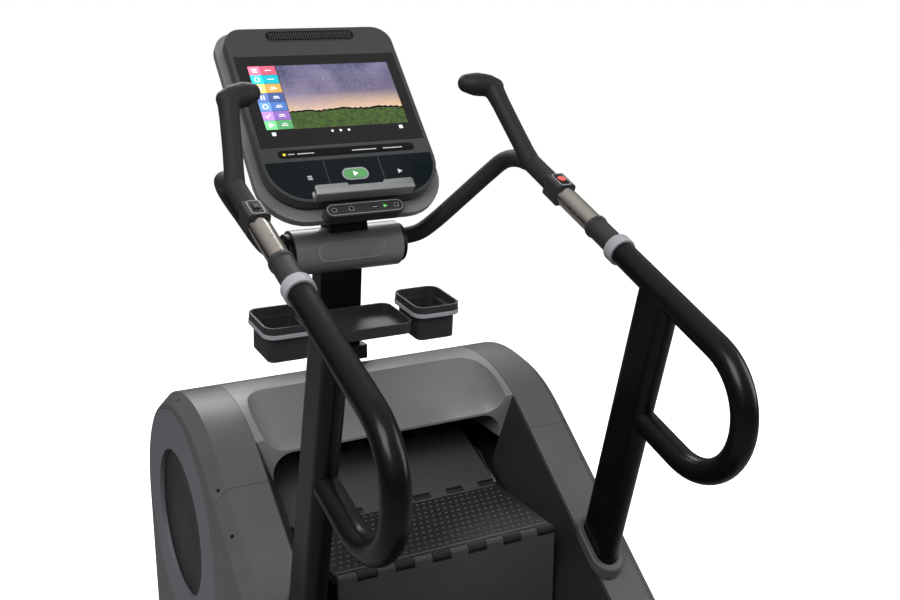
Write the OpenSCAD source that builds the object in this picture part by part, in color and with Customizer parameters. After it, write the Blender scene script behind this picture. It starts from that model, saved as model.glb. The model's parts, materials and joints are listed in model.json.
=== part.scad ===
// Stair climber (stepmill): a loop of eight hinged steps on chains between two covered side frames,
// with looped handrails, front grips, a console on a mast and storage bins.
// Places are measured from the rear edge of the highest visible tread: y forward, z up.
// placed() then moves that frame so that the floor is z = 0 and the machine is centred on the origin.

/* [Steps] */
// Width of each tread, side to side
tread_w = 500; // [480:5:504]
// Depth of each tread, hinge to hinge
step_run = 250; // [246:1:254]
// Height between treads
step_rise = 203; // [200:1:206]
// Height of the highest visible tread over the floor
tread_top_h = 1047; // [1040:1:1060]
// Thickness of the tread deck
deck_t = 22; // [18:1:24]

/* [Body] */
// Overall width over the side covers
body_w = 860; // [850:2:880]
// Wall thickness of the covers
skin = 5; // [4:0.5:6]
// Radius of the covers' arch over the top shaft
arch_r = 330; // [326:1:332]
// Radius of the round panel on each side
disc_r = 260; // [240:5:260]

/* [Handrails] */
// Distance of each handrail from the middle
rail_x = 337; // [334:1:340]
// Slope of the handrails over the horizontal
rail_slope = 21; // [20:0.5:22]
// Diameter of the painted rail tube
rail_d = 50; // [46:1:52]
// Radius of the loop at the lower end of the rail
loop_r = 129; // [125:1:132]
// Diameter of the rubber covered front tubes
grip_d = 40; // [36:1:42]

/* [Console] */
// Tilt of the console face over the horizontal
console_tilt = 48; // [44:1:52]
// Width of the console face
console_w = 414; // [410:1:418]
// Width of the screen glass
glass_w = 394; // [388:1:394]
// Height of the screen glass
glass_h = 247; // [240:1:248]

/* [Hidden] */
$fn = 48;

floor_z = -tread_top_h;
front_y = 533.5;
rear_y = -1238;
hinge_y = -(front_y + rear_y) / 2;
gap = 0.5;

// Step loop
pitch = sqrt(step_run * step_run + step_rise * step_rise);
slope = atan(step_rise / step_run);
sprocket_r = pitch / PI;
axis_drop = 6;
run_len = 3 * pitch;
knuckle_r = 9;
knuckle_n = 12;
knuckle_w = tread_w / knuckle_n;
pin_r = 3;
fit_gap = 0.05;
chain_x = 253.6;
chain_t = 5;
chain_h = 16;
chain_end = 62;
shaft_r = 15;
top_axis = [sprocket_r * sin(slope), -axis_drop - sprocket_r * cos(slope)];
bottom_axis = top_axis - run_len * [cos(slope), sin(slope)];
top_base = 2 * sprocket_r;
top_riser_angle = acos((step_rise * step_rise + top_base * top_base - step_run * step_run)
    / (2 * step_rise * top_base)) - (90 - slope);

// Side frames and shafts
plate_x = 257;
plate_t = 4;
bearing_w = 26;
pulley_x = 292;
pulley_w = 14;
pulley_r = 95;
fly_axis = [300, -620];
fly_shaft_r = 10;
fly_pulley_r = 30;
belt_t = 4;

// Covers
rail_in = 314;
crease_x = 402;
side_x = body_w / 2;
chamfer = 24;
seam_y = -51;
hood_y = 24;
ridge_y = 278;
arch = [203.5, -80, arch_r];
side_corners = [[-1198, -972, 40], [493.5, -972, 40], arch, [-1178, -833, 60]];
disc_c = [238, -55];
hub_r = 168;
cover_low = floor_z + 42;
foot_y = [-1130, 440];
foot_r = 6;
wheel_at = [508, floor_z + 29];
axle_d = 12;

// Handrails
collar = [-326, 611];
lean = 14.6;
post_foot = [-305, -40];
post_d = 100;
post_w = 48;
post_low = -960;
post_high = 618;
core_d = 34;
tube_t = 3;
loop_s = -322;
rail_top_s = 352;
box_s = [212, 263];
button_s = 237.5;
button_d = 18;

// Mast and neck
mast_c = [326, 388];
mast_lean = 6;
mast_w = 104;
mast_d = 56;
neck_c = [276, 528];

// Console, measured on its face from the middle of the glass's lower edge
console_c = [253, 773];
face_corners = [[-112, -50, 95], [112, -50, 95], [162, 282, 45], [-162, 282, 45]];
rim_corners = [[-117, -68, 105], [117, -68, 105], [164, 287, 58], [-164, 287, 58]];
bezel_t = 28;
glass_t = 3.5;
keypad_top = -40;
button_c = [0, -82];
fan_c = [290, -58];

// Storage bins, on a rim plane that tilts towards the user
rim_c = [210, 404.5];
rim_tilt = 4.9;
bin_x = 182;
bin_corners = [[-32, -44, 26], [32, -44, 26], [32, 44, 26], [-32, 44, 26]];

// Angle of the outward normal of the line that touches circles a and b, going anticlockwise
function touch(a, b) =
    atan2(b[1] - a[1], b[0] - a[0]) - acos((a[2] - b[2]) / norm([b[0] - a[0], b[1] - a[1]]));

// Outline of the shape stretched round the circles c, made smaller by inset
function rounded(c, inset = 0) = [
    for (i = [0 : len(c) - 1])
        let (
            here = c[i],
            a0 = touch(c[(i + len(c) - 1) % len(c)], here),
            a1 = touch(here, c[(i + 1) % len(c)]),
            turn = a1 - a0 - 360 * floor((a1 - a0) / 360),
            steps = ceil(turn / (here[2] > 200 ? 5 : 12))
        )
        for (k = [0 : steps])
            let (a = a0 + turn * k / steps)
            [here[0] + (here[2] - inset) * cos(a), here[1] + (here[2] - inset) * sin(a)]
];

// Place given along the slope and square to it, as y and z
function on_line(along, up) =
    [along * cos(slope) - up * sin(slope), along * sin(slope) + up * cos(slope) - axis_drop];

module placed() {
    translate([0, hinge_y, 0] + [0, 0, tread_top_h]) children();
}

module both() {
    children();
    mirror([1, 0, 0]) children();
}

// Extrudes a shape drawn in y and z from x0 over w
module side_on(x0, w) {
    translate([x0, 0, 0]) rotate([90, 0, 90]) linear_extrude(w) children();
}

module bar_x(x0, x1, at, d) {
    translate([x0, at[0], at[1]]) rotate([0, 90, 0]) cylinder(h = x1 - x0, d = d);
}

// Frame along the steps: y up the slope, z square to it, from the top tread's rear hinge
module on_slope() {
    translate([0, 0, -axis_drop]) rotate([slope, 0, 0]) children();
}

// Frame along a handrail: z up the rail, y towards the floor, from the collar
module on_rail() {
    translate([-rail_x, collar[0], collar[1]]) rotate([rail_slope - 90, 0, 0]) children();
}

// Frame along a handrail post: z up the post
module on_post() {
    translate([-rail_x, post_foot[0], post_foot[1]]) rotate([lean, 0, 0]) children();
}

module on_console() {
    translate([0, console_c[0], console_c[1]]) rotate([console_tilt, 0, 0]) children();
}

// Frame along the mast: z up the mast
module on_mast() {
    translate([0, mast_c[0], mast_c[1]]) rotate([mast_lean, 0, 0]) children();
}

// Frame on the rims of the storage bins
module on_rims() {
    translate([0, rim_c[0], rim_c[1]]) rotate([rim_tilt, 0, 0]) children();
}

module slab(corners, inset, z0, z1) {
    translate([0, 0, z0]) linear_extrude(z1 - z0) polygon(rounded(corners, inset));
}

// Round rod from a to b with ball ends
module rod(a, b, d) {
    hull() for (p = [a, b])
        translate(p) sphere(d = d, $fn = 20);
}

// ---- Base and side frames ----

module base_frame() {
    tube = 60;
    z0 = floor_z + 45;
    color("dimgray") placed() {
        both() {
            difference() {
                translate([-rail_x - tube / 2, -1190, z0]) cube([tube, 1680, tube]);
                translate([-rail_x - tube / 2 + tube_t, -1191, z0 + tube_t])
                    cube([tube - 2 * tube_t, 1682, tube - 2 * tube_t]);
                for (y = foot_y)
                    translate([-rail_x, y, z0 - 1]) cylinder(h = tube_t + 2, r = foot_r + fit_gap);
            }
            difference() {
                translate([-274, 489, wheel_at[1] - 12]) cube([6, 30, 42]);
                bar_x(-275, -267, wheel_at, axle_d + 2 * fit_gap);
            }
            for (p = [[-640, -734], [-20, -330]])
                difference() {
                    translate([-rail_x + tube / 2 - 1, p[0], z0 + 1])
                        cube([rail_x - tube / 2 + 0.99 - plate_x - plate_t, 40, p[1] - z0 - 1]);
                    translate([-rail_x + tube / 2 + tube_t, p[0] + tube_t, z0])
                        cube([rail_x - tube / 2 - plate_x - plate_t - 2 * tube_t, 40 - 2 * tube_t,
                            p[1] - z0 + 1]);
                }
        }
        for (y = [-1190, -300, 270, 430])
            difference() {
                translate([-rail_x + tube / 2, y, z0]) cube([2 * rail_x - tube, tube, tube]);
                translate([-rail_x + tube / 2 - 1, y + tube_t, z0 + tube_t])
                    cube([2 * rail_x, tube - 2 * tube_t, tube - 2 * tube_t]);
            }
    }
}

module step_frames() {
    plate = [[-1040, -250, 50], [80, -250, 50], [80, -62, 50], [-1040, -62, 50]];
    color("dimgray") placed() both() on_slope() {
        difference() {
            side_on(-plate_x - plate_t, plate_t) polygon(rounded(plate));
            for (y = [0, -run_len])
                bar_x(-plate_x - plate_t - 1, -plate_x + 1, [y, -sprocket_r], 44);
            for (i = [1 : 5])
                bar_x(-plate_x - plate_t - 1, -plate_x + 1, [-i * run_len / 6, -sprocket_r], 130);
        }
        translate([-plate_x, -run_len + chain_end, -20]) cube([27, run_len - 2 * chain_end, 6]);
    }
}

module shaft(at) {
    color("silver") placed() bar_x(-300, 300, at, 2 * shaft_r);
}

module top_shaft() {
    shaft(top_axis);
}

module bottom_shaft() {
    shaft(bottom_axis);
}

// Toothed plate on each side with its hub
module sprockets(at) {
    teeth = 26;
    tip = sprocket_r - chain_h / 2 - 1;
    outline = [for (i = [0 : 2 * teeth - 1])
        (tip - (i % 2) * 7) * [cos(180 * i / teeth), sin(180 * i / teeth)]];
    color("gray") placed() both() translate([0, at[0], at[1]])
        difference() {
            union() {
                side_on(-chain_x - 2, 4) polygon(outline);
                bar_x(-chain_x - 2, -chain_x + 16, [0, 0], 60);
            }
            bar_x(-chain_x - 3, -chain_x + 17, [0, 0], 2 * shaft_r + 0.02);
            for (a = [0 : 60 : 300])
                bar_x(-chain_x - 3, -chain_x + 3, 56 * [cos(a), sin(a)], 26);
        }
}

module top_sprockets() {
    sprockets(top_axis);
}

module bottom_sprockets() {
    sprockets(bottom_axis);
}

module shaft_bearings() {
    x0 = -plate_x - plate_t - bearing_w - gap;
    color("darkslategray") placed() both() for (at = [top_axis, bottom_axis])
        translate([0, at[0], at[1]])
            difference() {
                union() {
                    bar_x(x0, x0 + bearing_w, [0, 0], 64);
                    translate([x0 + bearing_w - 8, -52, -16]) cube([8, 104, 32]);
                }
                bar_x(x0 - 1, x0 + bearing_w + 1, [0, 0], 2 * (shaft_r + fit_gap));
                for (y = [-42, 42])
                    bar_x(x0, x0 + bearing_w + 1, [y, 0], 9);
            }
}

// Straight run of chain on each side, with holes for the step pins it carries
module chain_run(up) {
    color("gray") placed() both() on_slope() difference() {
        translate([-chain_x - chain_t / 2, -run_len + chain_end, up - chain_h / 2])
            cube([chain_t, run_len - 2 * chain_end, chain_h]);
        for (i = [1, 2])
            bar_x(-chain_x - chain_t, -chain_x + chain_t, [-i * pitch, up], 2 * (pin_r + fit_gap));
    }
}

module chain_front() {
    chain_run(0);
}

// Lower run with the pins of the steps that hang on it
module chain_return() {
    chain_run(-2 * sprocket_r);
    color("gray") placed() for (i = [0 : 2])
        return_step(i) for (y = [0, -step_run])
            pin(y == 0 && i > 0, y);
}

// Hinge pin; a carried one reaches through both chains
module pin(carried, y) {
    half = carried ? chain_x + chain_t / 2 - 0.1 : tread_w / 2 - 1;
    bar_x(-half, half, [y, 0], 2 * pin_r);
}

// Half ring of chain on a sprocket; start is where it begins, in degrees
module chain_wrap(along, start) {
    color("gray") placed() both() on_slope()
        translate([-chain_x - chain_t / 2, along, -sprocket_r])
            rotate([90, 0, 90]) rotate([0, 0, start])
                rotate_extrude(angle = 179)
                    translate([sprocket_r - chain_h / 2, 0]) square([chain_h, chain_t]);
}

module chain_top() {
    chain_wrap(0, -89.5);
}

module chain_bottom() {
    chain_wrap(-run_len, 90.5);
}

module drive_pulley() {
    color("gray") placed() difference() {
        bar_x(-pulley_x - pulley_w, -pulley_x, top_axis, 2 * pulley_r);
        bar_x(-pulley_x - pulley_w - 1, -pulley_x + 1, top_axis, 2 * shaft_r + 0.02);
        for (a = [0 : 60 : 300])
            bar_x(-pulley_x - pulley_w - 1, -pulley_x + 1, top_axis + 58 * [cos(a), sin(a)], 34);
    }
}

module drive_belt() {
    loop = [concat(fly_axis, [fly_pulley_r + gap]), concat(top_axis, [pulley_r + gap])];
    color("black") placed() difference() {
        side_on(-pulley_x - pulley_w + 1, pulley_w - 2) polygon(rounded(loop, -belt_t));
        side_on(-pulley_x - pulley_w, pulley_w) polygon(rounded(loop));
    }
}

module flywheel() {
    color("silver") placed() {
        bar_x(-315, -150, fly_axis, 2 * fly_shaft_r);
        bar_x(-pulley_x - pulley_w, -pulley_x, fly_axis, 2 * fly_pulley_r);
        bar_x(-225, -200, fly_axis, 280);
    }
}

module brake_housing() {
    stand_z = floor_z + 105;
    stand_h = fly_axis[1] - stand_z;
    color("darkslategray") placed() difference() {
        union() {
            bar_x(-190, -60, fly_axis, 180);
            translate([-180, fly_axis[0] - 30, stand_z]) cube([110, 60, stand_h]);
            bar_x(-262, -240, fly_axis, 60);
            translate([-262, fly_axis[0] - 30, stand_z]) cube([6, 60, stand_h]);
        }
        bar_x(-184, -66, fly_axis, 168);
        translate([-174, fly_axis[0] - 24, stand_z - 1]) cube([98, 48, stand_h]);
        bar_x(-263, -140, fly_axis, 2 * (fly_shaft_r + fit_gap));
    }
}

// ---- Steps ----

// Barrels along a hinge, taking every second place from first
module knuckles(first) {
    for (i = [first : 2 : knuckle_n - 1])
        bar_x(-tread_w / 2 + i * knuckle_w + 1, -tread_w / 2 + (i + 1) * knuckle_w - 1, [0, 0],
            2 * knuckle_r);
}

// Leaf of a hinge, cut away where the other part's barrels are, between heights low and high
module knuckle_slots(first, low, high) {
    for (i = [first : 2 : knuckle_n - 1])
        translate([-tread_w / 2 + i * knuckle_w - 1, -knuckle_r - 1, low])
            cube([knuckle_w + 2, 2 * knuckle_r + 2, high - low]);
}

// Tread with its rear hinge axis on the x axis and its nose axis step_run behind it
module tread() {
    difference() {
        union() {
            translate([-tread_w / 2, -step_run, axis_drop - deck_t]) cube([tread_w, step_run, deck_t]);
            knuckles(1);
            translate([0, -step_run, 0]) knuckles(1);
        }
        knuckle_slots(0, -30, 30);
        translate([0, -step_run, 0]) knuckle_slots(0, -30, 30);
        for (y = [0, -step_run])
            bar_x(-tread_w / 2 - 1, tread_w / 2 + 1, [y, 0], 2 * (pin_r + fit_gap));
    }
}

// Riser with its foot axis on the x axis and its top axis step_rise above it.
// It has a hinge only at an end that isn't cut short by low or high.
module riser(low = 0, high = step_rise) {
    panel_t = 7;
    foot = low == 0;
    top = high == step_rise;
    difference() {
        union() {
            translate([-tread_w / 2, -knuckle_r, low]) cube([tread_w, panel_t, high - low]);
            if (foot) knuckles(0);
            if (top) translate([0, 0, high]) knuckles(0);
        }
        if (foot) knuckle_slots(1, -30, knuckle_r + 1);
        if (top) translate([0, 0, high]) knuckle_slots(1, -knuckle_r - 1, 30);
        for (z = [0, step_rise])
            bar_x(-tread_w / 2 - 1, tread_w / 2 + 1, [0, z], 2 * (pin_r + fit_gap));
    }
}

module front_treads() {
    color([0.1, 0.1, 0.1]) placed() for (i = [0 : 3])
        translate([0, -i * step_run, -axis_drop - i * step_rise]) tread();
}

module front_risers() {
    color([0.2, 0.2, 0.21]) placed() for (i = [1 : 4])
        translate([0, -i * step_run, -axis_drop - i * step_rise]) riser(i < 4 ? 0 : 56);
}

module hinge_pins() {
    color("silver") placed() for (i = [0 : 3])
        translate([0, -i * step_run, -axis_drop - i * step_rise])
            for (y = [0, -step_run])
                pin(y == 0 && (i == 1 || i == 2), y);
}

// Hidden tread behind the hood, on the chain's turn over the top sprockets
module top_tread() {
    hinge = on_line(0, -2 * sprocket_r);
    nose = step_rise * [cos(top_riser_angle), sin(top_riser_angle)] - [0, axis_drop];
    arm = nose - hinge;
    color([0.1, 0.1, 0.1]) placed() translate([0, hinge[0], hinge[1]])
        rotate([atan2(arm[1], arm[0]) - 180, 0, 0]) tread();
}

module top_riser() {
    color([0.2, 0.2, 0.21]) placed() translate([0, 0, -axis_drop])
        rotate([top_riser_angle - 90, 0, 0]) riser(0, step_rise - 24);
}

module return_step(i) {
    hinge = on_line(-(3 - i) * pitch, -2 * sprocket_r);
    translate([0, hinge[0], hinge[1]]) rotate([180, 0, 0]) children();
}

module return_treads() {
    color([0.1, 0.1, 0.1]) placed() for (i = [0 : 2])
        return_step(i) tread();
}

module return_risers() {
    color([0.2, 0.2, 0.21]) placed() for (i = [1 : 3])
        return_step(i) riser(i < 3 ? 0 : 36);
}

module entry_step() {
    top = -4 * step_rise;
    inner = -965;
    color([0.12, 0.12, 0.12]) placed() {
        translate([-tread_w / 2 - 11, rear_y + 21, top - 30])
            cube([tread_w + 22, inner - rear_y - 21, 30]);
        translate([1 - rail_in, rear_y + 12, cover_low]) cube([2 * rail_in - 2, 10, top - cover_low]);
        for (x = [-tread_w / 2, tread_w / 2 - 8])
            translate([x, rear_y + 22, floor_z + 105]) cube([8, inner - rear_y - 22, top - floor_z - 135]);
    }
}

// ---- Covers ----

// Whole side cover: a shell with a chamfered edge, open towards the middle and the floor
module side_cover() {
    difference() {
        hull() {
            side_on(-crease_x, crease_x - rail_in) polygon(rounded(side_corners));
            side_on(-side_x, 1) polygon(rounded(side_corners, chamfer));
        }
        hull() {
            side_on(-crease_x + skin / 2, crease_x - rail_in + 2)
                polygon(rounded(side_corners, skin));
            side_on(-side_x + skin, 1) polygon(rounded(side_corners, chamfer + skin));
        }
        bar_x(-side_x - 1, -crease_x, disc_c, 2 * disc_r + 2);
        on_post() post_hole(3);
        translate([-side_x - 1, -1300, floor_z]) cube([side_x, 2000, 42]);
        edge_screws(0.1);
    }
}

// Screws in the chamfered edge, sunk level with it; room is the clearance round each
module edge_screws(room) {
    tilt = touch(arch, side_corners[3]);
    on_arch = [cos(84), sin(84)];
    on_edge = [cos(tilt), sin(tilt)];
    along = [-on_edge[1], on_edge[0]];
    middle = arch_r - chamfer / 2;
    edge_screw([arch[0], arch[1]] + middle * on_arch, 84, room);
    for (d = [56, 160])
        edge_screw([arch[0], arch[1]] + middle * on_edge + d * along, tilt, room);
}

module edge_screw(at, angle, room) {
    lean = atan(chamfer / (side_x - crease_x));
    translate([-(side_x + crease_x) / 2, at[0], at[1]]) rotate([angle - 90, 0, 0])
        rotate([0, -lean, 0]) translate([0, 0, -2.5 - room])
            cylinder(h = 2.5 + (room > 0 ? 4 : 0), d = 8 + 2 * room);
}

module post_hole(room) {
    translate([0, 0, -300]) linear_extrude(600) post_shape(room);
}

module post_shape(room) {
    r = post_w / 2;
    polygon(rounded([
        [0, -post_d / 2 + r, r + room],
        [0, post_d / 2 - r, r + room]
    ]));
}

module upper_cover() {
    color([0.3, 0.31, 0.32]) intersection() {
        side_cover();
        translate([-side_x - 1, seam_y + gap, floor_z]) cube([side_x, 800, 1400]);
    }
}

module lower_cover() {
    color([0.3, 0.31, 0.32]) intersection() {
        side_cover();
        translate([-side_x - 1, -1300, floor_z]) cube([side_x, 1300 + seam_y - gap, 1400]);
    }
}

module left_upper_cover() {
    placed() upper_cover();
}

module right_upper_cover() {
    placed() mirror([1, 0, 0]) upper_cover();
}

module left_lower_cover() {
    placed() lower_cover();
}

module right_lower_cover() {
    placed() mirror([1, 0, 0]) lower_cover();
}

// Round panel in each side: a ring with a sunken centre
module side_discs() {
    sink = 12;
    wall = 6;
    color([0.35, 0.37, 0.4]) placed() both() difference() {
        union() {
            bar_x(-side_x, -side_x + wall, disc_c, 2 * disc_r);
            bar_x(-side_x, -side_x + sink + wall, disc_c, 2 * (hub_r + wall));
        }
        bar_x(-side_x - 1, -side_x + sink, disc_c, 2 * hub_r);
    }
}

// Drum across the machine with rounded rims
module drum(centre, r, fillet, half) {
    profile = concat(
        [[0, -half]],
        [for (a = [-90 : 10 : 0]) [r - fillet + fillet * cos(a), -half + fillet + fillet * sin(a)]],
        [for (a = [0 : 10 : 90]) [r - fillet + fillet * cos(a), half - fillet + fillet * sin(a)]],
        [[0, half]]
    );
    translate([0, centre[0], centre[1]]) rotate([0, 90, 0]) rotate_extrude($fn = 96) polygon(profile);
}

// Hollowed face and arched underside of the hood, grown by extra
module hood_hollows(extra) {
    drum([-28, 460], 300 + extra, 60 + extra, 300 + extra);
    drum(top_axis, 248 + extra, 45 + extra, 277 + extra);
}

module hood() {
    wall = 6;
    color([0.42, 0.43, 0.44]) placed() difference() {
        side_on(-rail_in + 1, 2 * rail_in - 2) intersection() {
            polygon(rounded(side_corners));
            translate([hood_y, 100]) square([ridge_y - hood_y - 1, 180]);
        }
        hood_hollows(0);
        difference() {
            side_on(-rail_in + wall + 1, 2 * rail_in - 2 * wall - 2) intersection() {
                polygon(rounded(side_corners, wall));
                translate([60, 100]) square([300, 200]);
            }
            hood_hollows(wall);
        }
    }
}

module front_shroud() {
    color([0.3, 0.31, 0.32]) placed() difference() {
        side_on(-rail_in + 1, 2 * rail_in - 2) intersection() {
            difference() {
                polygon(rounded(side_corners));
                polygon(rounded(side_corners, skin));
            }
            translate([ridge_y, floor_z + 78]) square([400, 1400]);
        }
        mast_shape(3);
    }
}

// Sloping inner panel beside the steps, from the rail's edge in towards the treads
module inner_flanks() {
    drop = 110;
    lip = 14;
    far = -1200;
    color([0.25, 0.26, 0.27]) placed() both() difference() {
        hull() {
            side_on(-rail_in + 1, 2) flank_band(2, lip, far);
            side_on(-plate_x - plate_t - 3, 2) flank_band(drop, drop + 22, far);
        }
        translate([-400, hood_y - gap, -500]) cube([800, 800, 1000]);
    }
}

// Strip below the sloping top of the covers, between two depths square to it
module flank_band(depth0, depth1, far) {
    tilt = touch(arch, side_corners[3]) - 90;
    along = [cos(tilt), sin(tilt)];
    inward = [sin(tilt), -cos(tilt)];
    top = [arch[0], arch[1]] - arch[2] * inward;
    near = (hood_y - top[0]) / along[0];
    end = (far - top[0]) / along[0];
    polygon([
        top + near * along + depth0 * inward,
        top + end * along + depth0 * inward,
        top + end * along + depth1 * inward,
        top + near * along + depth1 * inward
    ]);
}

module cover_screws() {
    color("black") placed() both() edge_screws(0);
}

// ---- Handrails ----

// Quarter or longer bend that starts at the origin going down z and turns towards y
module bend(r, angle, d) {
    translate([0, r, 0]) rotate([-90, 0, -90]) rotate_extrude(angle = angle)
        translate([r, 0]) circle(d = d);
}

module rail_solid(d, over) {
    stub_angle = 177;
    on_rail() {
        translate([0, 0, loop_s]) cylinder(h = -loop_s - 12 + over, d = d);
        translate([0, 0, loop_s]) bend(loop_r, stub_angle, d);
        translate([0, loop_r - loop_r * cos(stub_angle), loop_s - loop_r * sin(stub_angle)])
            rotate([stub_angle - 180, 0, 0]) cylinder(h = 112, d = d);
    }
}

module handrail() {
    color([0.05, 0.05, 0.05]) {
        difference() {
            union() {
                rail_solid(rail_d, 0);
                on_post() translate([0, 0, post_low])
                    linear_extrude(post_high - post_low) post_shape(0);
            }
            rail_solid(rail_d - 2 * tube_t, 1);
            on_post() translate([0, 0, post_low - 1])
                linear_extrude(post_high - post_low - 2) post_shape(-tube_t);
        }
        on_rail() translate([0, 0, -30]) difference() {
            cylinder(h = rail_top_s - 20, d = core_d);
            translate([0, 0, -1]) cylinder(h = rail_top_s, d = core_d - 2 * tube_t);
        }
        on_rail() translate([0, 0, -30]) difference() {
            cylinder(h = 18, d = rail_d - 1);
            translate([0, 0, -1]) cylinder(h = 20, d = core_d - 1);
        }
    }
}

// Rail whose post stands level on the base tube
module standing_rail() {
    difference() {
        handrail();
        translate([-rail_x - 100, -400, floor_z]) cube([200, 600, 105]);
    }
}

module left_handrail() {
    placed() standing_rail();
}

module right_handrail() {
    placed() mirror([1, 0, 0]) standing_rail();
}

module handrail_boots() {
    rail_z = -60;
    color([0.3, 0.31, 0.32]) placed() both() intersection() {
        difference() {
            on_post() translate([0, 0, -120]) linear_extrude(260) post_shape(14);
            on_post() translate([0, 0, -140]) linear_extrude(300) post_shape(0.3);
        }
        translate([-rail_x - 80, -302, rail_z]) rotate([38.5, 0, 0])
            translate([0, -120, 1.5]) cube([160, 240, 24]);
    }
}

module on_rail_ring(s0, s1, outer, inner) {
    on_rail() translate([0, 0, s0]) difference() {
        cylinder(h = s1 - s0, d = outer);
        translate([0, 0, -1]) cylinder(h = s1 - s0 + 2, d = inner);
    }
}

module rail_collars() {
    color([0.65, 0.68, 0.72]) placed() both() on_rail_ring(-12 + 0.2, 13, 60, core_d + 0.2);
}

module grip_sleeves() {
    color([0.22, 0.22, 0.23]) placed() both() {
        on_rail_ring(13.2, 82, 46, core_d + 0.2);
        on_rail_ring(82, 92, 50, core_d + 0.2);
    }
}

// Stainless half shells, upper and lower, with an insulating gap between them
module pulse_contacts() {
    color("silver") placed() both() difference() {
        on_rail_ring(92.3, box_s[0] - 0.3, 43, core_d + 0.2);
        on_rail() translate([-30, -1, 90]) cube([60, 2, box_s[0] - 80]);
    }
}

module switch_boxes() {
    box = [[-15, -18, 7], [15, -18, 7], [15, 16, 7], [-15, 16, 7]];
    color([0.15, 0.15, 0.16]) placed() both() difference() {
        on_rail() translate([0, 0, box_s[0]]) linear_extrude(box_s[1] - box_s[0]) polygon(rounded(box));
        on_rail() translate([0, 0, box_s[0] - 1]) cylinder(h = 60, d = core_d + 0.2);
        on_rail() translate([0, -19, button_s]) rotate([90, 0, 0]) cylinder(h = 10, d = button_d + 0.4);
    }
}

module stop_button() {
    color("salmon") placed() mirror([1, 0, 0]) on_rail() translate([0, -22.2, button_s])
        rotate([90, 0, 0]) cylinder(h = 6.3, d = button_d);
}

module speed_rocker() {
    color([0.08, 0.08, 0.08]) placed() on_rail() translate([0, -24, button_s]) intersection() {
        translate([-5.4, -5, -6.6]) cube([10.8, 8, 13.2]);
        rotate([0, 90, 0]) cylinder(h = 20, d = 18, center = true);
    }
}

// Rubber covered fork: rail end, raised grip with its knob, and cross tube to the neck
module grip() {
    fork = [-rail_x, 6, 738];
    knob = [[-305, 127, 896], [-251, 146, 903]];
    cross = [
        fork,
        [-rail_x, 66, 742],
        [-328, 112, 731],
        [-312, 138, 704],
        [-261, 189, 638],
        [-219, 231, 583],
        [-189, 260, 552],
        [-158, neck_c[0], neck_c[1] + 12],
        [-120, neck_c[0], neck_c[1] + 12]
    ];
    color([0.12, 0.12, 0.12]) difference() {
        union() {
            on_rail() translate([0, 0, 264]) cylinder(h = rail_top_s - 264, d = grip_d + 2);
            rod(fork, knob[0], grip_d);
            rod(knob[0], knob[1], grip_d + 10);
            for (i = [0 : len(cross) - 2])
                rod(cross[i], cross[i + 1], grip_d);
        }
        on_rail() translate([0, 0, 263]) cylinder(h = 60, d = core_d + 0.2);
    }
}

module left_grip() {
    placed() grip();
}

module right_grip() {
    placed() mirror([1, 0, 0]) grip();
}

// ---- Mast and neck ----

module mast_shape(room) {
    on_mast() translate([-mast_w / 2 - room, -mast_d / 2 - room, -1330])
        cube([mast_w + 2 * room, mast_d + 2 * room, 1450]);
}

module mast() {
    color([0.06, 0.06, 0.06]) placed() difference() {
        mast_shape(0);
        mast_shape(-tube_t);
        on_mast() translate([-mast_w / 2 + tube_t, -mast_d / 2 + tube_t, -1340])
            cube([mast_w - 2 * tube_t, mast_d - 2 * tube_t, 60]);
    }
}

module mast_boot() {
    color([0.05, 0.05, 0.05]) placed() difference() {
        translate([-mast_w / 2 - 12, 292, 246]) cube([mast_w + 24, 104, 34]);
        mast_shape(0.3);
        side_on(-200, 400) polygon(rounded(side_corners, -gap));
    }
}

module neck_housing() {
    color([0.28, 0.29, 0.3]) placed() difference() {
        union() {
            bar_x(-132, 132, neck_c, 104);
            bar_x(-144, 144, neck_c, 86);
        }
        mast_shape(0.3);
        both() bar_x(-150, -96, neck_c + [0, 12], grip_d + 1);
    }
}

module console_bracket() {
    color([0.07, 0.07, 0.07]) placed() difference() {
        hull() {
            translate([-46, 238, 574]) cube([92, 60, 4]);
            translate([-44, 262, 650]) cube([88, 40, 30]);
        }
        bar_x(-150, 150, neck_c, 105);
        on_console() back_solid(-gap);
    }
}

// ---- Console ----

module back_solid(inset) {
    hull() {
        slab(rim_corners, inset, -54, -36);
        slab(rim_corners, 30 + inset, -93 + inset, -91);
    }
}

module console_back() {
    color([0.5, 0.51, 0.53]) placed() on_console() difference() {
        union() {
            back_solid(0);
            slab(face_corners, 8, -37, -bezel_t - 0.2);
        }
        hull() {
            slab(rim_corners, 14, -60, -50);
            slab(rim_corners, 40, -87, -85);
        }
        slab(face_corners, 16, -60, -bezel_t + 1);
    }
}

module console_bezel() {
    wall = 4;
    color([0.25, 0.26, 0.27]) placed() on_console() difference() {
        slab(face_corners, 0, -bezel_t, 0);
        translate([-glass_w / 2 - 0.3, -0.3, -glass_t - 0.3]) cube([glass_w + 0.6, glass_h + 0.6, 10]);
        translate([0, 0, -3.2]) linear_extrude(10) keypad_shape(-0.3);
        translate([0, 0, -bezel_t - 1]) linear_extrude(bezel_t - 10) polygon(rounded(face_corners, wall));
        slab([[button_c[0] - 16, button_c[1], 13], [button_c[0] + 16, button_c[1], 13]], 0, -20, 1);
        for (i = [0 : 17])
            translate([-103 + i * 12, 292, -30]) cube([8, 24, 40]);
    }
}

module keypad_shape(inset) {
    intersection() {
        polygon(rounded(face_corners, 8 + inset));
        translate([-220, -200]) square([440, 200 + keypad_top - inset]);
    }
}

module screen_glass() {
    color([0.02, 0.02, 0.03]) placed() on_console()
        translate([-glass_w / 2, 0, -glass_t]) cube([glass_w, glass_h, glass_t]);
}

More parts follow.
